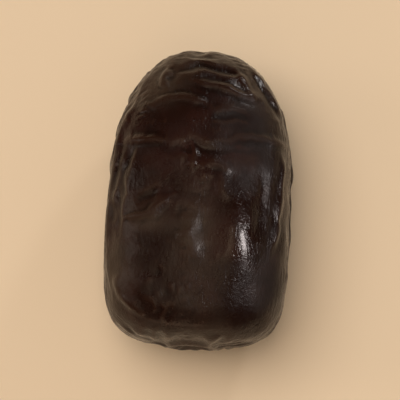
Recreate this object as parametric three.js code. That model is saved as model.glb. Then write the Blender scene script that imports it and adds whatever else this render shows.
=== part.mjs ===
// One soft, dark date, lying on the side that has settled flat under it. It is a single closed fruit:
// the skin has sunk and folded as the flesh dried, and the stem end keeps the pit that the cap left.
// Millimetres, +Z up, +Y towards the blossom tip, -Y towards the stem end. The origin is on the surface
// that the fruit rests on, under the middle of its box.
import * as THREE from "three";
import { mergeVertices } from "three/addons/utils/BufferGeometryUtils.js";

// Driving dimensions of the plump body, before the skin sinks.
const LENGTH = 39.5;
const HALF_WIDTH = 12.5;
const CROWN_HEIGHT = 10; // from the widest line up to the top of the upper face
const BELLY_DEPTH = 10.6; // from the widest line down to the underside
const STEM_SHARE = 0.44; // the widest station, as a share of the length from the stem end
const STEM_FULLNESS = 4; // superellipse exponents of the outline: 2 is an ellipse, more is blunter
const TIP_FULLNESS = 2.4;
const SECTION_FULLNESS = 2.6;

// How far the underside has settled flat, and how softly the flat blends into the belly.
const SETTLED_DEPTH = 0.75;
const SETTLED_BLEND = 0.3;

// The pit that the cap left in the stem end.
const PIT_RADIUS = 1.8;
const PIT_DEPTH = 1.6;
const PIT_LIP_RADIUS = 3.4;
const PIT_LIP_WIDTH = 0.9;
const PIT_LIP_HEIGHT = 0.3;

const DETAIL = 17; // each edge of the icosahedron is cut into one more piece than this
const SKIN_COLOUR = 0x2d201a;

const STEM_LENGTH = LENGTH * STEM_SHARE;
const TIP_LENGTH = LENGTH - STEM_LENGTH;

// Long ridges and valleys of the skin. Each runs through points given as [degrees around the fruit,
// millimetres along it from the widest station]: 0 degrees is the +X flank, 90 the upper face, 270 the
// underside. A negative height is a valley.
const FOLDS = [
  // Upper face: the rims on both sides of the flatter panel, and the valley inside the right one.
  { line: [[29, 9], [29, 6], [30, 3], [32, -1], [35, -4], [38, -6.5]], width: 1.1, height: 0.28 },
  { line: [[150, 17.5], [153, 13], [156, 6], [158, -1], [157, -7], [152, -12]], width: 1.2, height: 0.34 },
  { line: [[44, 7], [45, 3.4], [47, -1], [50, -5.5]], width: 1.1, height: -0.2 },
  // Upper face: the fold that crosses it below the tip, in two parts, and the valley under the fold.
  { line: [[72, 9], [60, 9.4], [48, 9.6], [36, 9.4], [24, 9.2]], width: 1, height: 0.34 },
  { line: [[152, 8.4], [141, 8.7], [130, 8.6], [118, 9]], width: 1, height: 0.24 },
  { line: [[126, 7.4], [104, 8], [82, 7.5], [60, 7.9], [44, 8.2]], width: 1.2, height: -0.3 },
  // Upper face: the low ridge down its middle, one above it on the right, and two short ones on the left.
  { line: [[92, 2], [95, -2], [96, -5], [93, -9]], width: 1.8, height: 0.34 },
  { line: [[80, 5.6], [76, 4], [73, 2.2], [72, 0.6]], width: 1.1, height: 0.26 },
  { line: [[141, -1.9], [133, -1.5], [125, -0.9], [117, 0.6], [108, 1.6]], width: 1, height: 0.3 },
  { line: [[150, -9], [142, -12], [128, -14.6]], width: 1.1, height: 0.3 },
  // Tip: arcs that ring it where the skin has slid down, above and below.
  { line: [[104, 17.2], [82, 16.9], [60, 15.8], [42, 15]], width: 1, height: 0.24 },
  { line: [[136, 13.4], [120, 14.6], [102, 14.8], [84, 14]], width: 1, height: 0.2 },
  { line: [[250, 14.5], [285, 15.4], [320, 14.6]], width: 1.2, height: -0.3 },
  // Flanks and underside: long ridges and valleys that run towards the tip.
  { line: [[352, 13], [348, 6], [350, -2], [345, -9]], width: 1.2, height: 0.4 },
  { line: [[8, 12], [10, 5], [6, -4]], width: 1.4, height: -0.35 },
  { line: [[325, 12], [320, 4], [322, -5], [330, -12]], width: 1.2, height: 0.42 },
  { line: [[188, 12], [184, 4], [189, -4], [186, -11]], width: 1.4, height: -0.35 },
  { line: [[205, 13], [208, 5], [204, -4], [210, -11]], width: 1.2, height: 0.42 },
  { line: [[236, 13], [232, 6], [238, -2], [232, -10]], width: 1.2, height: 0.35 },
  { line: [[300, 14], [304, 7], [300, 1]], width: 1.1, height: 0.35 },
];

// Broad hollows where the flesh has sunk: [degrees around, millimetres along], the hollow's reach across
// and along the skin, and its depth. A negative depth is a swelling.
const HOLLOWS = [
  { at: [58, -2.2], across: 3.2, along: 5.4, depth: -0.8 },
  { at: [118, 3.2], across: 4.5, along: 6, depth: 0.45 },
  { at: [81, -1], across: 2.4, along: 6, depth: 0.32 },
  { at: [46, 0], across: 3, along: 8, depth: 0.45 },
  { at: [90, 14.5], across: 7, along: 4, depth: 0.3 },
  { at: [112, -9], across: 6, along: 4, depth: 0.3 },
  { at: [74, -12], across: 5, along: 3.5, depth: 0.25 },
  { at: [358, 1], across: 5, along: 8, depth: 0.5 },
  { at: [187, -2], across: 5, along: 9, depth: 0.5 },
  { at: [232, 4], across: 5, along: 6, depth: 0.4 },
  { at: [312, -4], across: 5, along: 6, depth: 0.45 },
];

const LINE_STEPS = 24; // short pieces that each fold line is measured against

const toRadians = THREE.MathUtils.degToRad;

// The superellipse terms of the body at an offset from the widest station.
function stationTerms(along) {
  const tipward = along > 0;
  return {
    share: Math.abs(along) / (tipward ? TIP_LENGTH : STEM_LENGTH),
    fullness: tipward ? TIP_FULLNESS : STEM_FULLNESS,
  };
}

function heightScale(up) {
  return up > 0 ? CROWN_HEIGHT : BELLY_DEPTH;
}

// The point of the plump body in a direction from its centre. Inside, on and outside the body are where
// ((|x/w|^s + |z/h|^s)^(f/s) + |y/l|^f) is below, at and above 1, so one division reaches the surface.
function plumpPoint(direction) {
  const across = Math.abs(direction.x) / HALF_WIDTH;
  const upright = Math.abs(direction.z) / heightScale(direction.z);
  const section = Math.pow(across ** SECTION_FULLNESS + upright ** SECTION_FULLNESS, 1 / SECTION_FULLNESS);
  const { share, fullness } = stationTerms(direction.y);
  const size = Math.pow(section ** fullness + share ** fullness, 1 / fullness);
  return direction.clone().divideScalar(size);
}

// The point of the plump body at an angle around it and a distance along it.
function pointOnSkin([around, along]) {
  const cos = Math.cos(toRadians(around));
  const sin = Math.sin(toRadians(around));
  const section = Math.pow(
    Math.abs(cos / HALF_WIDTH) ** SECTION_FULLNESS + Math.abs(sin / heightScale(sin)) ** SECTION_FULLNESS,
    1 / SECTION_FULLNESS,
  );
  const { share, fullness } = stationTerms(along);
  const scale = Math.pow(Math.max(0, 1 - share ** fullness), 1 / fullness);
  return new THREE.Vector3((cos / section) * scale, along, (sin / section) * scale);
}

// The outward normal of the plump body, from the slopes of its formula.
function plumpNormal(point) {
  const step = 1e-3;
  const level = (p) => p.length() / plumpPoint(p).length();
  const slope = (axis) => {
    const nudge = new THREE.Vector3().setComponent(axis, step);
    return level(point.clone().add(nudge)) - level(point.clone().sub(nudge));
  };
  return new THREE.Vector3(slope(0), slope(1), slope(2)).normalize();
}

function lineOnSkin(points) {
  const curve = new THREE.CatmullRomCurve3(points.map(pointOnSkin));
  return curve.getPoints(LINE_STEPS);
}

// Distance from a point to a line of short pieces.
function distanceToLine(point, line) {
  const piece = new THREE.Line3();
  const nearest = new THREE.Vector3();
  let least = Infinity;
  for (let i = 1; i < line.length; i++) {
    piece.set(line[i - 1], line[i]);
    piece.closestPointToPoint(point, true, nearest);
    least = Math.min(least, nearest.distanceTo(point));
  }
  return least;
}

const bell = (distance, width) => Math.exp(-((distance / width) ** 2));

const foldLines = FOLDS.map((fold) => ({ ...fold, line: lineOnSkin(fold.line) }));
const hollowPlaces = HOLLOWS.map((hollow) => ({ ...hollow, at: pointOnSkin(hollow.at) }));

// How far the skin stands out from the plump body at a point: ridges, valleys, hollows and the stem pit.
function relief(point) {
  let height = 0;
  for (const fold of foldLines) {
    height += fold.height * bell(distanceToLine(point, fold.line), fold.width);
  }
  for (const hollow of hollowPlaces) {
    const offset = point.clone().sub(hollow.at);
    const across = Math.hypot(offset.x, offset.z) / hollow.across;
    height -= hollow.depth * bell(Math.hypot(across, offset.y / hollow.along), 1);
  }
  if (point.y < 0) {
    const fromStem = Math.hypot(point.x, point.z);
    height -= PIT_DEPTH * bell(fromStem, PIT_RADIUS);
    height += PIT_LIP_HEIGHT * bell(fromStem - PIT_LIP_RADIUS, PIT_LIP_WIDTH);
  }
  return height;
}

// A height above the resting surface, made flat below it: 0 under -SETTLED_BLEND, a parabola through the
// blend, and unchanged above it.
function settle(height) {
  if (height <= -SETTLED_BLEND) return 0;
  if (height >= SETTLED_BLEND) return height;
  return (height + SETTLED_BLEND) ** 2 / (4 * SETTLED_BLEND);
}

// The fruit's surface: an even ball of triangles, carried onto the plump body and then shaped.
function fruitGeometry() {
  const ball = new THREE.IcosahedronGeometry(1, DETAIL);
  ball.deleteAttribute("normal");
  ball.deleteAttribute("uv");
  const geometry = mergeVertices(ball);
  const positions = geometry.getAttribute("position");
  const stretch = new THREE.Vector3(HALF_WIDTH, Math.sqrt((HALF_WIDTH * LENGTH) / 2), CROWN_HEIGHT);
  const restingPlane = SETTLED_DEPTH - BELLY_DEPTH;
  for (let i = 0; i < positions.count; i++) {
    const direction = new THREE.Vector3().fromBufferAttribute(positions, i).multiply(stretch);
    const point = plumpPoint(direction);
    point.addScaledVector(plumpNormal(point), relief(point));
    positions.setXYZ(i, point.x, point.y, settle(point.z - restingPlane));
  }
  geometry.computeBoundingBox();
  const middle = geometry.boundingBox.getCenter(new THREE.Vector3());
  geometry.translate(-middle.x, -middle.y, 0);
  geometry.computeVertexNormals();
  return geometry;
}

function makeDate() {
  const skin = new THREE.MeshStandardMaterial({ color: SKIN_COLOUR, roughness: 0.3, metalness: 0 });
  const date = new THREE.Mesh(fruitGeometry(), skin);
  date.name = "date_fruit";
  return date;
}

const fruit = new THREE.Group();
fruit.add(makeDate());
export default fruit;
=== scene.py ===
# %% [markdown]
# # One soft, dark date
#
# A ripe date is a plump fruit whose flesh has shrunk while its skin has not. The skin is a little too
# large for what it covers, so it sinks, buckles and folds. The fruit here lies on the side that has
# settled flat under it. +Y points to the blossom tip, -Y to the stem end, and +Z is up.
#
# The lesson follows the fruit as it ripens: a plump body first, then the broad folds and hollows, then
# a thin elastic skin that is grown too large and left to find its own wrinkles, and last the finish.

# %% The frame
import math

import bpy
import numpy as np
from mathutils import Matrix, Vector


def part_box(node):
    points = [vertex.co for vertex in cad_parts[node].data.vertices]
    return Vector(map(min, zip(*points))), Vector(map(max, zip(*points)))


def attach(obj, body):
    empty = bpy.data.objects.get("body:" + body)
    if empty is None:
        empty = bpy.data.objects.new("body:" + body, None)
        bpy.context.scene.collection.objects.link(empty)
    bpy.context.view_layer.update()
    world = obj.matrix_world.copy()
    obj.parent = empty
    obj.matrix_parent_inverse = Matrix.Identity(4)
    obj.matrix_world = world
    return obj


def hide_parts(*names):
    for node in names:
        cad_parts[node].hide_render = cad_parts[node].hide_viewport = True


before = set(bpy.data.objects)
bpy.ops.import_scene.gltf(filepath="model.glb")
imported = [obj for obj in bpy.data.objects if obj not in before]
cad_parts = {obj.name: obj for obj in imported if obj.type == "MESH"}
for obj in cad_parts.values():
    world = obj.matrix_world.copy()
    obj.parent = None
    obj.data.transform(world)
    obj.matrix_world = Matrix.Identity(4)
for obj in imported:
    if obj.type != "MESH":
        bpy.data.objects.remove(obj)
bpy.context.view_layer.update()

MILLIMETRE = 0.001
FRUIT = "date_fruit"

fruit_low, fruit_high = (np.array(corner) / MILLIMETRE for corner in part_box(FRUIT))
fruit_size = fruit_high - fruit_low
print("the fruit's own box is", np.round(fruit_size, 2), "mm")

# %% [markdown]
# ## The plump body
#
# Before it dries, a date is nearly a superellipsoid: rounder than a box, fuller than an egg. It could be
# a scaled sphere, but then both ends would be the same. Here the widest station is nearer the stem end,
# the stem half ends bluntly and the tip half narrows sooner. All shapes are worked out in millimetres
# around the widest station, and go to metres only when they become a mesh.

# %% Driving sizes of the body
LENGTH = fruit_size[1] - 0.1
HALF_WIDTH = fruit_size[0] / 2 + 0.25
CROWN_HEIGHT = 0.5 * fruit_size[2]
BELLY_DEPTH = 0.53 * fruit_size[2]
SETTLED_DEPTH = 0.75
SETTLED_BLEND = 0.3

STEM_SHARE = 0.44
STEM_HALF = LENGTH * STEM_SHARE
TIP_HALF = LENGTH - STEM_HALF
STEM_FULLNESS = 4.0
TIP_FULLNESS = 2.4
SECTION_FULLNESS = 2.6


def section_size(across, up):
    """Size of the cross-section's curve through a point: the sum of each distance over its half width,
    both raised to the fullness, brought back with the root of the fullness."""
    reach = np.where(up > 0, CROWN_HEIGHT, BELLY_DEPTH)
    total = np.abs(across / HALF_WIDTH) ** SECTION_FULLNESS + np.abs(up / reach) ** SECTION_FULLNESS
    return total ** (1 / SECTION_FULLNESS)


def station(along):
    """How far a station lies towards its end, from 0 at the widest to 1, and that end's fullness."""
    share = np.abs(along) / np.where(along > 0, TIP_HALF, STEM_HALF)
    return share, np.where(along > 0, TIP_FULLNESS, STEM_FULLNESS)


def plump_points(directions):
    """The point of the body in each direction: the direction over its own size, where size is the
    superellipse sum of its cross-section size and its station."""
    section = section_size(directions[:, 0], directions[:, 2])
    share, fullness = station(directions[:, 1])
    size = (section**fullness + share**fullness) ** (1 / fullness)
    return directions / size[:, None]


def points_on_skin(line):
    """Points of the body given as [degrees around, millimetres along]. 0 degrees is the +X side and 90
    the upper face; the cross-section shrinks to the root of one less the station's power."""
    around, along = np.radians([p[0] for p in line]), np.array([p[1] for p in line], float)
    across, up = np.cos(around), np.sin(around)
    share, fullness = station(along)
    shrink = np.maximum(0, 1 - share**fullness) ** (1 / fullness) / section_size(across, up)
    return np.stack([across * shrink, along, up * shrink], 1)


print("body", round(LENGTH, 2), "long,", round(2 * HALF_WIDTH, 2), "wide,",
      round(CROWN_HEIGHT + BELLY_DEPTH, 2), "deep before it settles")

# %% [markdown]
# ## A grid without poles
#
# A sphere of rings and segments pinches its grid at both ends, just where a date has its finest
# puckers. A cube blown up to a ball has six square patches instead, each a grid of two angles, and the
# skin's squares stay nearly alike all over. The patches are joined along their edges, so the skin is one
# closed surface.

# %% The six patches
PATCH_STEPS = 64


def six_patches(steps):
    """Directions on six square patches: a face's own axis, plus the tangent of one angle along the
    second axis and the tangent of the other angle along the third. Shared edges are merged."""
    tangent = np.tan(np.linspace(-np.pi / 4, np.pi / 4, steps + 1))
    u, v = np.meshgrid(tangent, tangent, indexing="ij")
    one = np.ones_like(u)
    faces = [(one, u, v), (-one, v, u), (v, one, u), (u, -one, v), (u, v, one), (v, u, -one)]
    directions = np.concatenate([np.stack(face, -1).reshape(-1, 3) for face in faces])
    corner = (np.arange(steps)[:, None] * (steps + 1) + np.arange(steps)).ravel()
    patch = np.stack([corner, corner + steps + 1, corner + steps + 2, corner + 1], 1)
    quads = np.concatenate([patch + face * (steps + 1) ** 2 for face in range(6)])
    _, first, merged = np.unique(
        np.round(directions, 6), axis=0, return_index=True, return_inverse=True
    )
    return directions[first], merged.reshape(-1)[quads]


def unit(vectors):
    """Each vector over its own length."""
    return vectors / np.maximum(np.linalg.norm(vectors, axis=-1, keepdims=True), 1e-9)


def skin_normals(points, quads):
    """Normal at each point: the sum, over the squares that meet there, of the cross product of the
    square's two diagonals."""
    across = np.cross(
        points[quads[:, 2]] - points[quads[:, 0]], points[quads[:, 3]] - points[quads[:, 1]]
    )
    total = [
        sum(np.bincount(quads[:, corner], across[:, axis], len(points)) for corner in range(4))
        for axis in range(3)
    ]
    return unit(np.stack(total, 1))


directions, quads = six_patches(PATCH_STEPS)
stretch = np.array([HALF_WIDTH, math.sqrt(HALF_WIDTH * LENGTH / 2), CROWN_HEIGHT])
plump = plump_points(directions * stretch)
plump_normals = skin_normals(plump, quads)
print("grid of", len(plump), "points and", len(quads), "squares")

# %% [markdown]
# ## Unevenness
#
# No fruit is regular, so every later step is varied by a smooth random field. Blender has noise of its
# own, but only point by point from Python. Here gradient noise is written out for whole arrays, with a
# seed of its own for each use, so each run gives the same fruit.

# %% Smooth random fields
NOISE_TABLE = 4096


def noise(points, seed):
    """Gradient noise: each corner of a unit lattice has a random direction, a point takes the dot
    product of its step from the corner with it, and eight corners blend by 6t^5 - 15t^4 + 10t^3."""
    chance = np.random.default_rng(seed)
    gradients = unit(chance.normal(size=(NOISE_TABLE, 3)))
    order = chance.permutation(NOISE_TABLE)
    cell = np.floor(points).astype(int)
    step = points - cell
    blend = step**3 * (step * (6 * step - 15) + 10)
    total = 0
    for corner in np.ndindex(2, 2, 2):
        x, y, z = (cell + corner).T
        pick = order[(order[(order[x % NOISE_TABLE] + y) % NOISE_TABLE] + z) % NOISE_TABLE]
        weight = np.where(np.array(corner) == 1, blend, 1 - blend).prod(1)
        total = total + weight * ((step - corner) * gradients[pick]).sum(1)
    return total


def layered_noise(points, seed, layers=2):
    """Noise plus half as much noise at twice the fineness, and so on."""
    return sum(noise(points * 2**layer, seed + layer) / 2**layer for layer in range(layers))


def ramp(value, start, end):
    """0 before start, 1 after end, and 3t^2 - 2t^3 between them."""
    share = np.clip((value - start) / (end - start), 0, 1)
    return share * share * (3 - 2 * share)


WANDER_SCALE = 3.0
WANDER = 0.45
wandered = plump + WANDER * np.stack(
    [layered_noise(plump / WANDER_SCALE, seed) for seed in (91, 92, 93)], 1
)
print("fold lines will wander by up to", round(float(np.abs(wandered - plump).max()), 2), "mm")

# %% [markdown]
# ## Where the skin folds
#
# The broad folds are what make this fruit this one: a ridge down either side frames the upper face, a
# fold crosses it under the tip in two parts, a soft ridge runs down its middle, and short folds and
# valleys lie between. Arcs ring the tip, and long ridges run along the flanks. Each could be sculpted by
# hand. A line of a few points over the skin says the same and can be read: degrees around, millimetres
# along from the widest station. A height below zero is a valley, and a fold that leans is steep on one
# side and gentle on the other, as a fold that has slumped is.

# %% The folds
def fold(line, width, height, lean=0.0):
    """One fold: its points on the skin, its half width, its height, and how far it leans."""
    return {"line": line, "width": width, "height": height, "lean": lean}


UPPER_FACE_FOLDS = [
    fold([[29, 9], [29, 6], [30, 3], [32, -1], [35, -4], [38, -6.5]], 0.55, 0.28, 0.4),
    fold([[44, 7], [45, 3.4], [47, -1], [50, -5.5]], 0.9, -0.2),
    fold([[150, 17.5], [153, 13], [155, 8], [157, 3], [158, -2], [157, -7], [152, -12]], 0.9, 0.34, -0.4),
    fold([[141, 9.5], [142, 6.5], [145, 3], [147, -0.5], [146, -4]], 0.75, -0.32),
    fold([[72, 9], [60, 9.4], [48, 9.6], [36, 9.4], [24, 9.2]], 0.55, 0.34, -0.5),
    fold([[152, 8.4], [141, 8.7], [130, 8.6], [118, 9]], 0.5, 0.24, -0.5),
    fold([[126, 7.4], [104, 8], [82, 7.5], [60, 7.9], [44, 8.2]], 0.95, -0.3),
    fold([[91, 6.6], [88, 4.6], [86, 3]], 0.9, 0.18, 0.3),
    fold([[92, 2], [95, -2], [96, -5], [93, -9]], 1.8, 0.34, 0.1),
    fold([[97, 8.2], [95, 6.6], [97, 5]], 0.5, 0.2),
    fold([[86, 5.6], [80, 6], [73, 5.4], [69, 4.2]], 0.6, 0.2),
    fold([[141, -1.9], [133, -1.5], [125, -0.9], [117, 0.6], [108, 1.6]], 0.7, 0.3, 0.5),
    fold([[137, 0.4], [127, 1.2], [118, 2.2]], 0.8, -0.2),
    fold([[80, 5.6], [76, 4], [73, 2.2], [72, 0.6]], 0.9, 0.26, 0.3),
    fold([[122, -7.5], [116, -10.5], [106, -13]], 1.4, -0.25),
    fold([[150, -9], [142, -12], [128, -14.6]], 0.8, 0.3),
]
TIP_FOLDS = [
    fold([[116, 18.6], [96, 19.4], [72, 19.1], [50, 18]], 0.5, -0.26),
    fold([[104, 17.2], [82, 16.9], [60, 15.8], [42, 15]], 0.55, 0.24, -0.3),
    fold([[136, 13.4], [120, 14.6], [102, 14.8], [84, 14]], 0.6, 0.2, 0.3),
    fold([[84, 12.2], [66, 12.6], [52, 12]], 0.5, -0.2),
    fold([[34, 19.6], [31, 18], [28, 15.8], [22, 13]], 0.55, 0.36),
    fold([[56, 19], [50, 17], [46, 14.4]], 0.5, 0.2),
    fold([[134, 19], [131, 17], [125, 15.6]], 0.6, 0.28),
    fold([[250, 14.5], [285, 15.4], [320, 14.6]], 0.8, -0.3),
]
SIDE_FOLDS = [
    fold([[352, 13], [348, 6], [350, -2], [345, -9]], 0.9, 0.4),
    fold([[8, 12], [10, 5], [6, -4]], 1.3, -0.35),
    fold([[325, 12], [320, 4], [322, -5], [330, -12]], 0.9, 0.42),
    fold([[188, 12], [184, 4], [189, -4], [186, -11]], 1.3, -0.35),
    fold([[205, 13], [208, 5], [204, -4], [210, -11]], 0.9, 0.42),
    fold([[236, 13], [232, 6], [238, -2], [232, -10]], 0.9, 0.35),
    fold([[300, 14], [304, 7], [300, 1]], 0.8, 0.35),
]
ALL_FOLDS = UPPER_FACE_FOLDS + TIP_FOLDS + SIDE_FOLDS
print(len(ALL_FOLDS), "fold lines")

# %% [markdown]
# ## From lines to relief
#
# A line becomes a smooth curve over the skin, and its height falls away from it as a bell. The curve is
# led through wandered points, the bell's width and height vary along it, and both ends fade, so no fold
# looks ruled.

# %% Curves over the skin
CURVE_STEPS = 8


def smooth_curve(line):
    """A Catmull-Rom curve: between two points it is the cubic that leaves each of them along the line
    that joins its neighbours, and the ends get neighbours by reflection."""
    ends = [2 * line[:1] - line[1:2], line, 2 * line[-1:] - line[-2:-1]]
    before, here, there, after = (np.concatenate(ends)[k : k + len(line) - 1, None] for k in range(4))
    t = np.linspace(0, 1, CURVE_STEPS, endpoint=False)[:, None]
    curve = 0.5 * (
        2 * here
        + (there - before) * t
        + (2 * before - 5 * here + 4 * there - after) * t**2
        + (3 * here - before - 3 * there + after) * t**3
    )
    return np.concatenate([curve.reshape(-1, 3), line[-1:]])


def nearest_on_curve(points, curve):
    """Distance to a curve, the share of its length at the nearest place, and how far to its left: the
    foot on each straight piece is kept between its ends, and the nearest piece counts."""
    step = np.diff(curve, axis=0)
    length = np.linalg.norm(step, axis=1)
    offset = points[:, None] - curve[:-1]
    foot = np.clip(np.einsum("vsk,sk->vs", offset, step) / length**2, 0, 1)
    offset -= foot[..., None] * step
    distance = np.linalg.norm(offset, axis=2)
    rows, piece = np.arange(len(points)), distance.argmin(1)
    reached = np.concatenate([[0], np.cumsum(length)])
    share = (reached[piece] + foot[rows, piece] * length[piece]) / reached[-1]
    leftward = np.cross(plump_normals, unit(step)[piece])
    return distance[rows, piece], share, (leftward * offset[rows, piece]).sum(1)


first_curve = smooth_curve(points_on_skin(ALL_FOLDS[0]["line"]))
print("the first fold's curve has", len(first_curve), "points")

# %% The height of a fold
FADE_SHARE = 0.32  # the share of a fold's length over which each end fades
FADED_HEIGHT = 0.15
SIDE_BLEND = 0.15
LEAN_SHARE = 0.45
WIDTH_CHANGE = 0.7
WIDTH_CHANGE_SCALE = 2.3
WIDTH_LIMITS = (0.6, 1.5)
HEIGHT_CHANGE = 0.9
HEIGHT_CHANGE_SCALE = 3.1
LINE_SHIFT = 3.7  # each line reads the noise at a place of its own
FULL_FOLD = 0.5  # a fold of this height, in millimetres, counts in full as a fold nearby


def fold_relief(item, shift):
    """Height of one fold over the skin: its height times a bell of distance over width, where the width
    differs between the sides by the lean, noise varies both, and the ends fade."""
    curve = smooth_curve(points_on_skin(item["line"]))
    distance, share, left = nearest_on_curve(wandered, curve)
    width = item["width"] * (1 - LEAN_SHARE * item["lean"] * np.tanh(left / SIDE_BLEND))
    width *= np.clip(1 + WIDTH_CHANGE * noise(plump / WIDTH_CHANGE_SCALE + shift, 31), *WIDTH_LIMITS)
    height = item["height"] * (1 + HEIGHT_CHANGE * noise(plump / HEIGHT_CHANGE_SCALE + shift, 57))
    fade = FADED_HEIGHT + (1 - FADED_HEIGHT) * ramp(np.minimum(share, 1 - share), 0, FADE_SHARE)
    return height * fade * np.exp(-((distance / width) ** 2))


reliefs = np.array([fold_relief(item, LINE_SHIFT * number) for number, item in enumerate(ALL_FOLDS)])
folds = reliefs.sum(0)
near_fold = np.clip(np.abs(reliefs).max(0) / FULL_FOLD, 0, 1)
print("folds stand", round(float(folds.max()), 2), "and sink", round(float(-folds.min()), 2), "mm")

# %% [markdown]
# ## Hollows, the stem pit and the settled side
#
# Between the folds the flesh has sunk in broad, shallow hollows, and in one place it stands up in a soft
# swelling, which is a hollow with a depth below zero. At the stem end a small round pit is left where the
# cap came away, with a low lip, and the blossom left a very small scar in the middle of the tip.
# Underneath, the soft fruit has settled into a small flat spot: every height below it is lifted to it,
# with a short parabola between, so the change is smooth.

# %% Broad shapes
HOLLOWS = [
    {"at": [58, -2.2], "across": 3.2, "along": 5.4, "depth": -0.8},
    {"at": [118, 3.2], "across": 4.5, "along": 6, "depth": 0.45},
    {"at": [81, -1], "across": 2.4, "along": 6, "depth": 0.32},
    {"at": [46, 0], "across": 3, "along": 8, "depth": 0.45},
    {"at": [90, 14.5], "across": 7, "along": 4, "depth": 0.3},
    {"at": [112, -9], "across": 6, "along": 4, "depth": 0.3},
    {"at": [74, -12], "across": 5, "along": 3.5, "depth": 0.25},
    {"at": [358, 1], "across": 5, "along": 8, "depth": 0.5},
    {"at": [187, -2], "across": 5, "along": 9, "depth": 0.5},
    {"at": [232, 4], "across": 5, "along": 6, "depth": 0.4},
    {"at": [312, -4], "across": 5, "along": 6, "depth": 0.45},
]
PIT_RADIUS = 1.8
PIT_DEPTH = 1.6
PIT_LIP_RADIUS = 3.4
PIT_LIP_WIDTH = 0.9
PIT_LIP_HEIGHT = 0.3
SCAR_RADIUS = 1.2
SCAR_DEPTH = 0.35
BROAD_SCALE = 7.5
BROAD_HEIGHT = 0.28


def bell(distance, width):
    """1 in the middle, falling as e to the power of minus the square of distance over width."""
    return np.exp(-((distance / width) ** 2))


def spot(points, item):
    """1 in the middle of a spot on the skin, and a bell in the distances across and along from there."""
    offset = points - points_on_skin([item["at"]])[0]
    across = np.hypot(offset[:, 0], offset[:, 2])
    return bell(across, item["across"]) * bell(offset[:, 1], item["along"])


from_axis = np.hypot(plump[:, 0], plump[:, 2])
at_stem = plump[:, 1] < 0
lip = PIT_LIP_HEIGHT * bell(from_axis - PIT_LIP_RADIUS, PIT_LIP_WIDTH)
pit = lip - PIT_DEPTH * bell(from_axis, PIT_RADIUS)
broad = BROAD_HEIGHT * layered_noise(plump / BROAD_SCALE, 11)
broad = broad + sum(-item["depth"] * spot(plump, item) for item in HOLLOWS)
broad += np.where(at_stem, pit, -SCAR_DEPTH * bell(from_axis, SCAR_RADIUS))
print("broad shapes stand", round(float(broad.max()), 2), "and sink", round(float(-broad.min()), 2), "mm")

# %% The settled side
HELD_SHARE = 0.5  # the flesh follows half of each fold, and the skin starts with all of it


def settle(height):
    """0 below the settled side, the height itself above it, and a parabola for the blend between."""
    blended = (height + SETTLED_BLEND) ** 2 / (4 * SETTLED_BLEND)
    return np.where(height <= -SETTLED_BLEND, 0, np.where(height >= SETTLED_BLEND, height, blended))


def shaped(relief):
    """The body moved along its normals by the relief, resting at height 0 on its settled side."""
    points = plump + plump_normals * relief[:, None]
    points[:, 2] = settle(points[:, 2] + BELLY_DEPTH - SETTLED_DEPTH)
    return points


flesh = shaped(broad + HELD_SHARE * folds)
creased_skin = shaped(broad + folds)
print("shaped flesh measures", np.round(np.ptp(flesh, axis=0), 2), "mm")

# %% [markdown]
# ## The skin finds its own wrinkles
#
# Wrinkles drawn by a rule look drawn. Real ones come from a skin that is too large for what it covers:
# it cannot shorten, so it buckles, and its stiffness and the flesh under it settle how wide the buckles
# are. That is a small simulation. Each point is joined to its eight neighbours by springs that are a few
# per cent too long, bending is resisted, and the flesh holds the skin, firmly against sinking in and
# gently against lifting off. That difference is what gives a date crisp ridges and smooth valleys.
#
# Springs need neighbours. Two tables list them for every point, so a whole step is array work.

# %% Neighbours
DIAGONAL_PULL = 0.7  # stiffness of a spring over a diagonal, as a share of one over a side


def neighbour_table(pairs, count, width=4):
    """For each point, the points that it is paired with, and a weight of 1 or, in an empty place, 0."""
    both = np.concatenate([pairs, pairs[:, ::-1]])
    both = both[np.argsort(both[:, 0], kind="stable")]
    place = np.arange(len(both)) - np.searchsorted(both[:, 0], both[:, 0])
    table = np.tile(np.arange(count)[:, None], (1, width))
    weight = np.zeros((count, width), np.float32)
    table[both[:, 0], place] = both[:, 1]
    weight[both[:, 0], place] = 1
    return table, weight


def neighbours(quads, count):
    """Neighbours over the sides of the squares, then those over their diagonals, with weights."""
    sides = np.concatenate([quads[:, [k, (k + 1) % 4]] for k in range(4)])
    diagonals = np.concatenate([quads[:, [0, 2]], quads[:, [1, 3]]])
    side_table, side_weight = neighbour_table(np.unique(np.sort(sides, 1), axis=0), count)
    cross_table, cross_weight = neighbour_table(np.unique(np.sort(diagonals, 1), axis=0), count)
    table = np.concatenate([side_table, cross_table], 1)
    return table, np.concatenate([side_weight, DIAGONAL_PULL * cross_weight], 1)


springs = (neighbours(quads, len(plump))[1] > 0).sum(1)
print(springs.max(), "springs at a point, but", springs.min(), "at the cube's eight corners")

# %% [markdown]
# ## Letting a skin settle
#
# The skin starts on its place with a faint tremble, because a perfectly even one would not know which
# way to buckle. Over the first half of the steps its springs grow to their full length. Each step then
# adds up the forces, changes the speeds and moves the points, and drag takes the movement away.

# %% Forces and steps
STIFFNESS = 60.0
STEP = 0.04
DRAG = 0.04
FIRM_HOLD = 1.2  # against sinking into the flesh
GENTLE_HOLD = 0.4  # against lifting off it
SIDE_HOLD = 0.2  # against sliding along it
TREMBLE = 0.015


def grown_springs(start, outward, table, growth):
    """Each spring's length, and the fraction by which it grows: the growth lengthwise by the squared
    cosine of its angle to the fruit's length along the skin, and the growth around by what is left."""
    span = start[table] - start[:, None]
    length = np.linalg.norm(span, axis=2) + 1e-9
    lengthwise = unit(np.array([0, 1, 0]) - outward * outward[:, 1:2])
    share = ((span * lengthwise[:, None]).sum(2) / length) ** 2
    too_long = [0.5 * (part[table] + part[:, None]) for part in growth]
    return length, (too_long[0] * share + too_long[1] * (1 - share)).astype(np.float32)


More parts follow.
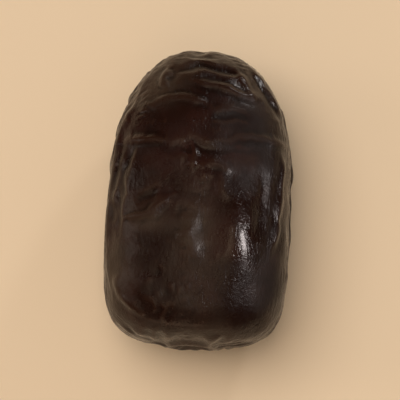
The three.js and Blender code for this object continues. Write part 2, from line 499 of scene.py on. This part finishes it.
def relax(start, held, quads, growth, bending, steps, seed):
    """Lets a skin settle. The force on a point is the springs' stretch, less the second Laplacian of
    its bending, less the flesh's hold times how far it has left its place; speed loses a share of
    itself at each step. Growth is a pair of fractions, lengthwise and around."""
    start = start.astype(np.float32)
    held = held.astype(np.float32)
    outward = skin_normals(held, quads).astype(np.float32)
    table, weight = neighbours(quads, len(start))
    near = table[:, :4]
    near_weight = weight[:, :4, None]
    stiffness = STIFFNESS * weight

    def laplacian(field):
        """Sum of the differences from the four neighbours over the sides."""
        return ((field[near] - field[:, None]) * near_weight).sum(1)

    length, grown = grown_springs(start, outward, table, growth)
    held_bend = laplacian(held)
    bending = bending.astype(np.float32)[:, None]

    tremble = np.random.default_rng(seed).normal(size=(len(start), 1)).astype(np.float32)
    for _ in range(2):
        tremble += laplacian(tremble) / 5
    points = start + outward * tremble * TREMBLE
    speed = np.zeros_like(start)
    for number in range(steps):
        rest = length * (1 + grown * min(1, 2 * (number + 1) / steps))
        span = points[table] - points[:, None]
        now = np.sqrt(np.einsum("vnk,vnk->vn", span, span)) + 1e-9
        force = ((stiffness * (now - rest) / now)[..., None] * span).sum(1)
        force -= laplacian(bending * (laplacian(points) - held_bend))
        moved = points - held
        lifted = (moved * outward).sum(1, keepdims=True)
        hold = np.where(lifted > 0, GENTLE_HOLD, FIRM_HOLD)
        force -= outward * (hold - SIDE_HOLD) * lifted + SIDE_HOLD * moved
        speed = speed * (1 - DRAG) + force * STEP
        points = points + speed * STEP
    return points.astype(float)


def keep_settled(points):
    """Nothing reaches below the surface that the fruit rests on."""
    points[:, 2] = np.maximum(points[:, 2], 0)
    return points


print("a skin settles at", STEP, "a step, and loses", DRAG, "of its speed each time")

# %% [markdown]
# ## Zones and places
#
# A date wrinkles along its sides, puckers round the stem, and gathers across its tip, while its upper
# face stays smooth. These zones follow from where a point is and which way it faces. Single places differ
# too: here the skin is drawn taut and shines, there it is calm or dull, and in a few places it is painted
# paler and made rougher, partly as dust and partly as a painted highlight. Each is a soft spot with a
# reach across and along the skin, and lists of spots are easy to read and to move.

# %% Zones
TIP_FROM = (8.5, 12.5)
STEM_FROM = (11, 15)
UPPER_FROM = (0.25, 0.55)


def zones(points, normals):
    """How much each point belongs to the tip, the stem end, and the face that looks up."""
    tip = ramp(points[:, 1], *TIP_FROM)
    stem = ramp(-points[:, 1], *STEM_FROM)
    return tip, stem, ramp(normals[:, 2], *UPPER_FROM)


def patches(points, scale, seed):
    """Noise spread over 0 to 1."""
    return np.clip(0.5 + 1.4 * layered_noise(points / scale, seed), 0, 1)


tip, stem, upper = zones(plump, plump_normals)
shares = [round(float(zone.mean()), 2) for zone in (tip, stem, upper)]
print("shares of tip, stem end and upper face:", shares)

# %% Places with a skin of their own
TAUT_SPOTS = [
    {"at": [58, -2.6], "across": 2.6, "along": 5.5},
    {"at": [40, 17], "across": 1.8, "along": 2.4},
    {"at": [116, 14], "across": 3.0, "along": 2.5},
    {"at": [89, 6.5], "across": 1.6, "along": 2.2},
]
CALM_SPOTS = [
    {"at": [30, 3], "across": 1.6, "along": 4.5},
    {"at": [36, -4], "across": 1.6, "along": 4.5},
    {"at": [58, -11.5], "across": 3.0, "along": 3.0},
]
GLOSSY_SPOTS = [
    {"at": [48, 17.2], "across": 2.2, "along": 2.0},
]
# Pale, rougher spots: dust on the skin, and also a painted highlight on the left shoulder and along the
# short fold on the left.
DUST_AND_HIGHLIGHT_SPOTS = [
    {"at": [92, -3.2], "across": 2.6, "along": 4.2},
    {"at": [125, -2.2], "across": 2.6, "along": 1.3},
    {"at": [150, -9], "across": 2.5, "along": 5},
    {"at": [132, 16.6], "across": 3.2, "along": 2.8},
]
DULL_SPOTS = [
    {"at": [56, 7], "across": 3.4, "along": 3.6},
    {"at": [56, 12], "across": 3.6, "along": 3.2},
    {"at": [36, -9], "across": 3.0, "along": 4.0},
]
CALMING = 0.85


def coverage(points, spots):
    """How far spots cover each point: their sum, at most 1."""
    return np.clip(sum(spot(points, item) for item in spots), 0, 1)


def slackness(points):
    """What the taut and calm spots leave of a skin's growth: 1, less most of their coverage."""
    return 1 - CALMING * coverage(points, TAUT_SPOTS + CALM_SPOTS)


slack = slackness(plump)
print("the growth is calmed to", round(float(slack.min()), 2), "where the skin is tightest")

# %% [markdown]
# ## The broad wrinkles
#
# The skin grows more around than along on the flanks and round the stem, the other way at the tip, and
# little on the upper face. Patches of noise make some places tighter than others, and a fold draws a few
# more wrinkles beside it. The upper face is stiffer as well, so that what does buckle there is broader,
# and the stiffness differs from place to place, as the thickness of a real skin does.

# %% Growing the skin
BROAD_STEPS = 300
AROUND = {"flank": 0.030, "panel": 0.012, "stem": 0.034, "tip": 0.006, "fold": 0.010}
ALONG = {"body": 0.008, "tip": 0.024, "fold": 0.008}

panel = upper * (1 - tip) * (1 - stem)
tight = patches(plump, 5, 21)
tight_tip = patches(plump, 4, 26)
growth_around = slack * (
    AROUND["flank"] * (1 - upper) * (0.2 + tight)
    + AROUND["panel"] * panel * tight
    + AROUND["stem"] * stem * (patches(plump, 3.4, 27) ** 2)
    + AROUND["tip"] * tip * upper
    + AROUND["fold"] * near_fold
)
growth_along = (
    ALONG["body"] * (1 - tip)
    + ALONG["tip"] * tip * (0.2 + 0.9 * tight_tip)
    + ALONG["fold"] * near_fold
)
bending = (0.9 + 1.1 * panel) * (0.55 + 0.9 * patches(plump, 6, 23))
broad_skin = keep_settled(
    relax(creased_skin, flesh, quads, (growth_along, growth_around), bending, BROAD_STEPS, 3)
)
print("the skin left its flesh by up to", round(float(np.abs(broad_skin - flesh).max()), 2), "mm")

# %% [markdown]
# ## A finer skin
#
# The broad wrinkles are as fine as the grid lets them be. One Subdivision Surface level rounds them and
# gives four squares for each. On that finer skin the same relaxing runs again for a short while, and
# what buckles now is half as wide: the crinkles that catch the light in a date's skin.

# %% Meshes in and out of Blender
def make_mesh(name, points, quads):
    """A Blender mesh in metres, smooth shaded, from points in millimetres and squares."""
    mesh = bpy.data.meshes.new(name)
    mesh.vertices.add(len(points))
    mesh.vertices.foreach_set("co", (points * MILLIMETRE).astype(np.float32).ravel())
    mesh.loops.add(quads.size)
    mesh.loops.foreach_set("vertex_index", quads.astype(np.int32).ravel())
    mesh.polygons.add(len(quads))
    mesh.polygons.foreach_set("loop_start", np.arange(0, quads.size, 4, dtype=np.int32))
    mesh.update(calc_edges=True)
    mesh.validate()
    mesh.shade_smooth()
    return mesh


def subdivided(points, quads):
    """Points and squares after one level of Blender's Subdivision Surface."""
    piece = bpy.data.objects.new("coarse_skin", make_mesh("coarse_skin", points, quads))
    bpy.context.scene.collection.objects.link(piece)
    finer = piece.modifiers.new("Subdivision", "SUBSURF")
    finer.levels = finer.render_levels = 1
    evaluated = piece.evaluated_get(bpy.context.evaluated_depsgraph_get()).to_mesh()
    corners = np.empty(len(evaluated.vertices) * 3, np.float32)
    evaluated.vertices.foreach_get("co", corners)
    indices = np.empty(len(evaluated.loops), np.int32)
    evaluated.loops.foreach_get("vertex_index", indices)
    bpy.data.objects.remove(piece)
    return corners.reshape(-1, 3).astype(float) / MILLIMETRE, indices.reshape(-1, 4)


fine_start, fine_quads = subdivided(broad_skin, quads)
print("from", len(broad_skin), "points to", len(fine_start))

# %% The crinkles
FINE_STEPS = 90
FINE_BENDING = 0.8
FINE_AROUND = {"everywhere": 0.024, "patches": 0.034}
FINE_ALONG = {"everywhere": 0.010, "patches": 0.018, "tip": 0.034}
UPPER_CALMING = 0.45
TIP_CALMING = 0.4
WIDEST_HEIGHT = BELLY_DEPTH - SETTLED_DEPTH  # height of the widest line over the resting surface

body_points = fine_start - [0, 0, WIDEST_HEIGHT]
tip, stem, upper = zones(body_points, skin_normals(fine_start, fine_quads))
crinkled = patches(fine_start, 2.6, 41)
slack = slackness(body_points)
smoother = 1 - UPPER_CALMING * upper * (1 - tip)
fine_around = slack * (FINE_AROUND["everywhere"] + FINE_AROUND["patches"] * crinkled)
fine_around = fine_around * smoother * (1 - TIP_CALMING * tip)
fine_along = slack * (
    FINE_ALONG["everywhere"] + FINE_ALONG["patches"] * crinkled + FINE_ALONG["tip"] * tip * crinkled
)
fine_growth = (fine_along, fine_around)
fine_bending = np.full(len(fine_start), FINE_BENDING)
fine_skin = keep_settled(
    relax(fine_start, fine_start, fine_quads, fine_growth, fine_bending, FINE_STEPS, 5)
)
print("fine skin of", len(fine_skin), "points, crinkled by up to",
      round(float(np.abs(fine_skin - fine_start).max()), 3), "mm")

# %% [markdown]
# ## The piece
#
# The skin is brought to the fruit's own box, a change of one or two parts in a hundred, and becomes the
# one mesh of this part. It carries its own fields for the finish: how far each point stands on a crest
# or lies in a valley, how deep it lies in the stem pit, how taut or dull its place is, and how far it
# lies in a pale spot that is partly dust and partly painted highlight.

# %% Fields on the skin
CREST_REACH = 0.12
PIT_FIELD_DEPTH = (STEM_HALF - 3.5, STEM_HALF - 1)
PIT_FIELD_RADIUS = (1.5, 4)


def crest_field(points, quads):
    """How much a point stands out of its neighbours' mean, along its normal, over their distance;
    then evened twice over the neighbours."""
    table, weight = neighbours(quads, len(points))
    total = weight.sum(1, keepdims=True)
    mean_offset = ((points[table] - points[:, None]) * weight[..., None]).sum(1) / total
    spacing = np.linalg.norm(points[table[:, 0]] - points, axis=1)
    field = -(mean_offset * skin_normals(points, quads)).sum(1) / spacing
    for _ in range(2):
        field = 0.5 * field + 0.5 * (field[table] * weight).sum(1) / total[:, 0]
    return field


def pit_field(points):
    """1 in the stem pit, fading with the distance from the axis and away from the stem end."""
    near_end = ramp(-points[:, 1], *PIT_FIELD_DEPTH)
    return near_end * (1 - ramp(np.hypot(points[:, 0], points[:, 2]), *PIT_FIELD_RADIUS))


def to_box(points, low, high):
    """Each axis moved and scaled so that the points' box is the box given."""
    lowest, size = points.min(0), np.ptp(points, axis=0)
    return low + (points - lowest) / size * (high - low)


skin_points = to_box(fine_skin, fruit_low, fruit_high)
print("scaled to the box by", np.round(np.ptp(skin_points, axis=0) / np.ptp(fine_skin, axis=0), 3))
fields = {
    "crest": np.clip(0.5 + crest_field(skin_points, fine_quads) / CREST_REACH, 0, 1),
    "pit": pit_field(body_points),
    "taut": coverage(body_points, TAUT_SPOTS + GLOSSY_SPOTS),
    # how far a point lies in a pale spot: partly dust, partly painted highlight
    "dust_and_painted_highlight": coverage(body_points, DUST_AND_HIGHLIGHT_SPOTS),
    "dull": coverage(body_points, DULL_SPOTS),
}
print("mean of each field:", {name: round(float(values.mean()), 3) for name, values in fields.items()})

# %% The date
date = bpy.data.objects.new("date", make_mesh("date", skin_points, fine_quads))
bpy.context.scene.collection.objects.link(date)
for name, values in fields.items():
    attribute = date.data.attributes.new(name, "FLOAT", "POINT")
    attribute.data.foreach_set("value", values.astype(np.float32))
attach(date, "root")
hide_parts(FRUIT)
print("the date has", len(date.data.polygons), "squares")

# %% [markdown]
# ## Writing shader maths as Python
#
# A node tree is easier to read as a formula. The small class below wraps one socket, so that adding or
# multiplying it adds a Math node. One method adds any other node: settings first, then values or links.
# A ramp and a mix of two colours are used so often that they have a short name each.

# %% A value in a shader tree
class Shade:
    """One output in a material's node tree."""

    def __init__(self, tree, socket=None):
        self.tree = tree
        self.socket = socket

    def node(self, kind, settings, values, output=0):
        """Adds a node of a type, with its settings set first and then its inputs, by name or number."""
        node = self.tree.nodes.new(kind)
        for name, value in settings.items():
            setattr(node, name, value)
        for name, value in values.items():
            if isinstance(value, Shade):
                self.tree.links.new(value.socket, node.inputs[name])
            else:
                node.inputs[name].default_value = value
        return Shade(self.tree, node.outputs[output] if len(node.outputs) else None)

    def maths(self, operation, first, second):
        """A Math node on two values, each a socket or a number."""
        return self.node("ShaderNodeMath", {"operation": operation}, {0: first, 1: second})

    def __add__(self, other):
        return self.maths("ADD", self, other)

    def __radd__(self, other):
        return self.maths("ADD", other, self)

    def __sub__(self, other):
        return self.maths("SUBTRACT", self, other)

    def __rsub__(self, other):
        return self.maths("SUBTRACT", other, self)

    def __mul__(self, other):
        return self.maths("MULTIPLY", self, other)

    def __rmul__(self, other):
        return self.maths("MULTIPLY", other, self)

    def ramp(self, start, end, low=0.0, high=1.0):
        """Low before start and high after end, smoothly between them."""
        settings = {"interpolation_type": "SMOOTHSTEP"}
        return self.node("ShaderNodeMapRange", settings, {0: self, 1: start, 2: end, 3: low, 4: high})

    def mix(self, below, above):
        """A colour between two colours, with this value as the share of the second."""
        settings = {"data_type": "RGBA"}
        return self.node("ShaderNodeMix", settings, {0: self, 6: below, 7: above}, output=2)


def new_material(name):
    """An empty material and the start of its tree."""
    material = bpy.data.materials.new(name)
    material.use_nodes = True
    material.node_tree.nodes.clear()
    return material, Shade(material.node_tree)


def surface(tree, values):
    """A Principled surface with the given inputs, joined to the material's output."""
    shader = tree.node("ShaderNodeBsdfPrincipled", {}, values)
    tree.node("ShaderNodeOutputMaterial", {}, {"Surface": shader})


def rgb(red, green, blue):
    """A colour socket's value."""
    return (red, green, blue, 1.0)


trial, trial_tree = new_material("trial")
trial_value = 1 - trial_tree.node("ShaderNodeTexNoise", {}, {}) * 0.5
print("1 - noise * 0.5 is", len(trial.node_tree.nodes), "nodes; the last is", trial_value.socket.node.name)
bpy.data.materials.remove(trial)

# %% [markdown]
# ## The skin's finish
#
# The skin is almost black, with red-brown patches where it is thin. A dry bloom lies over it as a haze
# and has gathered to pale dust in a few places, and some of these pale spots are a painted highlight on
# the left shoulder and along a short fold. The crests of the folds are rubbed paler, the valleys are
# painted darker as painted shade, and the stem pit is brown. Such a skin could be painted by hand. Here
# each colour is glazed over the last by a share: noise gives the patches and the haze, and the fields on
# the mesh the rest.
#
# It is moist rather than polished. Where it is drawn taut it shines, where it lies in a pale spot or is
# dull it does not, and pores and wrinkles too fine for the mesh break up the edges of the highlights. A
# thin coat carries the syrup's shine, and a little sheen gives the bloom's soft edge.

# %% The colours
DARK_SKIN = rgb(0.0125, 0.0042, 0.0028)
RED_SKIN = rgb(0.0240, 0.0084, 0.0060)
RED_PATCH_SCALE = 170.0
RED_PATCH_RAMP = (0.42, 0.68)
GLAZES = {
    "haze": {"share": 0.6, "colour": rgb(0.0225, 0.0138, 0.0084)},
    "dust_and_painted_highlight": {"share": 0.75, "colour": rgb(0.047, 0.0295, 0.0185)},
    # pale spots: partly dust, partly a painted highlight
    "on_crest": {"share": 0.5, "colour": rgb(0.029, 0.0122, 0.0068)},
    # painted shade: the valleys of the folds painted darker
    "valley_painted_shade": {"share": 0.5, "colour": rgb(0.006, 0.0025, 0.0015)},
    "pit": {"share": 0.65, "colour": rgb(0.045, 0.021, 0.011)},
}


def skin_noise(tree, place, scale, detail=3.0, distortion=0.0):
    """Noise of a few layers, at so many cells to a metre."""
    values = {"Vector": place, "Scale": scale, "Detail": detail, "Distortion": distortion}
    return tree.node("ShaderNodeTexNoise", {}, values)


def skin_colour(tree, place, masks):
    """Dark skin with red patches, under each glaze in turn, among them painted shade in the valleys and a
    painted highlight in some pale spots: a mix by the glaze's mask times its share.
    """
    patch = skin_noise(tree, place, RED_PATCH_SCALE)
    colour = patch.ramp(*RED_PATCH_RAMP).mix(DARK_SKIN, RED_SKIN)
    for name, glaze in GLAZES.items():
        colour = (masks[name] * glaze["share"]).mix(colour, glaze["colour"])
    return colour


print("glazes over the dark skin:", list(GLAZES))

# %% The gloss and the grain
ROUGHNESS = 0.30
ROUGHNESS_CHANGES = {"haze": 0.06, "pit": 0.2, "taut": -0.14, "dull": 0.45, "dust_and_painted_highlight": 0.18}
UNEVEN_SCALE = 420.0
UNEVEN_RAMP = (0.3, 0.75, -0.08, 0.08)
COAT = 0.07
TAUT_COAT = 0.18
GRAIN_SCALES = (2600.0, 1100.0, 2600.0)
GRAIN_DISTORTION = 0.8
PORE_SCALE = 5200.0
PORE_SHARE = 0.35
BUMP = {"Strength": 0.7, "Distance": 0.0001}


def skin_roughness(tree, place, masks):
    """An even roughness, a little noise, and each mask times the change that it makes."""
    roughness = ROUGHNESS + skin_noise(tree, place, UNEVEN_SCALE, 4.0).ramp(*UNEVEN_RAMP)
    for name, change in ROUGHNESS_CHANGES.items():
        roughness = roughness + masks[name] * change
    return roughness


def skin_bump(tree, place):
    """The normal of a height that is a lengthwise grain plus a share of finer, even pores."""
    stretched = tree.node("ShaderNodeMapping", {}, {"Vector": place, "Scale": GRAIN_SCALES})
    grain = skin_noise(tree, stretched, 1.0, 3.0, GRAIN_DISTORTION)
    pores = skin_noise(tree, place, PORE_SCALE, 2.0)
    return tree.node("ShaderNodeBump", {}, {**BUMP, "Height": grain + pores * PORE_SHARE})


print("roughness", ROUGHNESS, "changes by", ROUGHNESS_CHANGES)

# %% The skin material
HAZE_SCALE = 90.0
HAZE_RAMP = (0.48, 0.72)
CREST_RAMP = (0.55, 0.95)
# where the crest field is low, the valleys get painted shade
VALLEY_SHADE_RAMP = (0.45, 0.1)


def skin_material():
    """Dark skin whose colour, gloss and grain follow its masks: the mesh's fields, the haze, and the
    high and low parts of the crest field, the low parts painted darker as painted shade."""
    material, tree = new_material("date_skin_finish")
    place = tree.node("ShaderNodeTexCoord", {}, {}, output="Object")
    masks = {
        name: tree.node("ShaderNodeAttribute", {"attribute_name": name}, {}, output="Fac")
        for name in fields
    }
    masks["haze"] = skin_noise(tree, place, HAZE_SCALE, 4.0).ramp(*HAZE_RAMP)
    masks["on_crest"] = masks["crest"].ramp(*CREST_RAMP)
    # painted shade: darker where the skin lies in a valley
    masks["valley_painted_shade"] = masks["crest"].ramp(*VALLEY_SHADE_RAMP)
    surface(tree, {
        "Base Color": skin_colour(tree, place, masks),
        "Roughness": skin_roughness(tree, place, masks),
        "Coat Weight": masks["taut"] * TAUT_COAT + (1 - masks["dull"]) * COAT,
        "Coat Roughness": 0.16,
        "IOR": 1.45,
        "Specular IOR Level": 0.36,
        "Sheen Weight": 0.15,
        "Sheen Roughness": 0.30,
        "Sheen Tint": rgb(1.0, 0.93, 0.82),
        "Normal": skin_bump(tree, place),
    })
    return material


finish = skin_material()
date.data.materials.append(finish)
print("material", finish.name, "with", len(finish.node_tree.nodes), "nodes")

# %% [markdown]
# ## Floor and light
#
# The fruit lies on a plain pale floor. A wide, soft sun and the pale sky light the floor and the fruit,
# but are kept out of reflections: a date is so dark that a bright sky would turn it grey. Its shine comes
# from six oval softboxes instead, as from windows in a dim room. The one that makes the main highlight
# gives reflections only, so that it doesn't pale the skin around it.

# %% The floor
FLOOR_HALF = 4.0
FLOOR_DROP = 0.00002  # a hair under the flat spot, so that no two faces coincide
FLOOR_COLOUR = rgb(0.86, 0.69, 0.50)


def flat_floor(half):
    """A square: both parameters run from minus to plus its half width, at one height below 0."""
    x, y = np.meshgrid([-half, half], [-half, half], indexing="ij")
    points = np.stack([x, y, 0 * x - FLOOR_DROP], -1).reshape(-1, 3) / MILLIMETRE
    return points, np.array([[0, 2, 3, 1]])


floor = bpy.data.objects.new("floor", make_mesh("floor", *flat_floor(FLOOR_HALF)))
bpy.context.scene.collection.objects.link(floor)
floor_material, floor_tree = new_material("floor_finish")
surface(floor_tree, {"Base Color": FLOOR_COLOUR, "Roughness": 0.8, "Specular IOR Level": 0.2})
floor.data.materials.append(floor_material)
print("floor", 2 * FLOOR_HALF, "metres wide")

# %% Sky and sun
SKY_COLOUR = (1.0, 0.90, 0.76, 1.0)
SKY_STRENGTH = 0.22
SUN_PLACE = (-0.12, 0.09, 0.4)
SUN_POWER = 1.60
SUN_COLOUR = (1.0, 0.93, 0.85)
SUN_WIDTH = math.radians(50)

middle = (fruit_low + fruit_high) / 2 * MILLIMETRE


def aim(thing, place, target):
    """Puts an object at a place and turns its own -Z towards the target."""
    thing.location = place
    thing.rotation_euler = (Vector(target) - Vector(place)).to_track_quat("-Z", "Y").to_euler()


def add_light(name, kind, place, power, colour, **settings):
    """A light at a place in metres, turned to the fruit."""
    light = bpy.data.lights.new(name, kind)
    light.energy, light.color = power, colour
    for setting, value in settings.items():
        setattr(light, setting, value)
    thing = bpy.data.objects.new(name, light)
    bpy.context.scene.collection.objects.link(thing)
    aim(thing, place, middle)
    return thing


world = bpy.data.worlds.new("sky")
bpy.context.scene.world = world
world.use_nodes = True
world.node_tree.nodes["Background"].inputs["Color"].default_value = SKY_COLOUR
world.node_tree.nodes["Background"].inputs["Strength"].default_value = SKY_STRENGTH
world.cycles_visibility.glossy = False
sun = add_light("soft_sun", "SUN", SUN_PLACE, SUN_POWER, SUN_COLOUR, angle=SUN_WIDTH)
sun.visible_glossy = False
print("the sun is", round(math.degrees(SUN_WIDTH)), "degrees wide")

# %% The softboxes
PINK_WHITE = (1.0, 0.90, 0.87)
WHITE = (1.0, 0.96, 0.93)
CREAM = (1.0, 0.86, 0.74)
AMBER = (1.0, 0.74, 0.50)
ORANGE = (1.0, 0.66, 0.42)


def softbox(name, place, width, height, power, colour):
    """An oval light that the skin may mirror: place and sizes in metres, power in watts."""
    return add_light(name, "AREA", place, power, colour, shape="ELLIPSE", size=width, size_y=height)


window = softbox("window", (0.18, 0.0, 0.22), 0.035, 0.07, 0.33, PINK_WHITE)
window.visible_diffuse = False
softbox("tip_window", (0.155, 0.27, 0.16), 0.05, 0.03, 0.14, WHITE)
softbox("overhead", (-0.01, 0.0, 0.36), 0.09, 0.09, 0.04, AMBER)
softbox("ceiling", (-0.04, -0.13, 0.36), 0.24, 0.20, 0.08, AMBER)
softbox("low_glow", (-0.05, -0.26, 0.10), 0.22, 0.06, 0.07, ORANGE)
softbox("left_wall", (-0.26, 0.02, 0.15), 0.10, 0.18, 0.075, CREAM)

# %% [markdown]
# ## The camera
#
# A date that lies down shows its upper face best from above. A near camera would swell the middle of it,
# so this one has a long lens and stands far off, and the outline stays nearly the true one. It leans a
# few degrees from straight down, towards the stem end, and is turned a little, so that the fruit isn't
# ruled to the frame. The Standard view transform shows the light's plain contrast as it is.

# %% Look down on the fruit
CAMERA_TURN = math.radians(3)
CAMERA_RISE = math.radians(82)
CAMERA_LENS = 250
FRUIT_IN_FRAME = 0.75

camera_data = bpy.data.cameras.new("camera")
camera_data.lens = CAMERA_LENS
camera = bpy.data.objects.new("camera", camera_data)
bpy.context.scene.collection.objects.link(camera)
towards_camera = np.array([
    math.sin(CAMERA_TURN) * math.cos(CAMERA_RISE),
    -math.cos(CAMERA_TURN) * math.cos(CAMERA_RISE),
    math.sin(CAMERA_RISE),
])
frame_width = fruit_size[1] * MILLIMETRE / FRUIT_IN_FRAME
camera_distance = frame_width * CAMERA_LENS / camera_data.sensor_width
aim(camera, middle + towards_camera * camera_distance, middle)
bpy.context.scene.camera = camera
bpy.context.scene.view_settings.view_transform = "Standard"
print("camera", round(camera_distance, 3), "metres from the fruit")
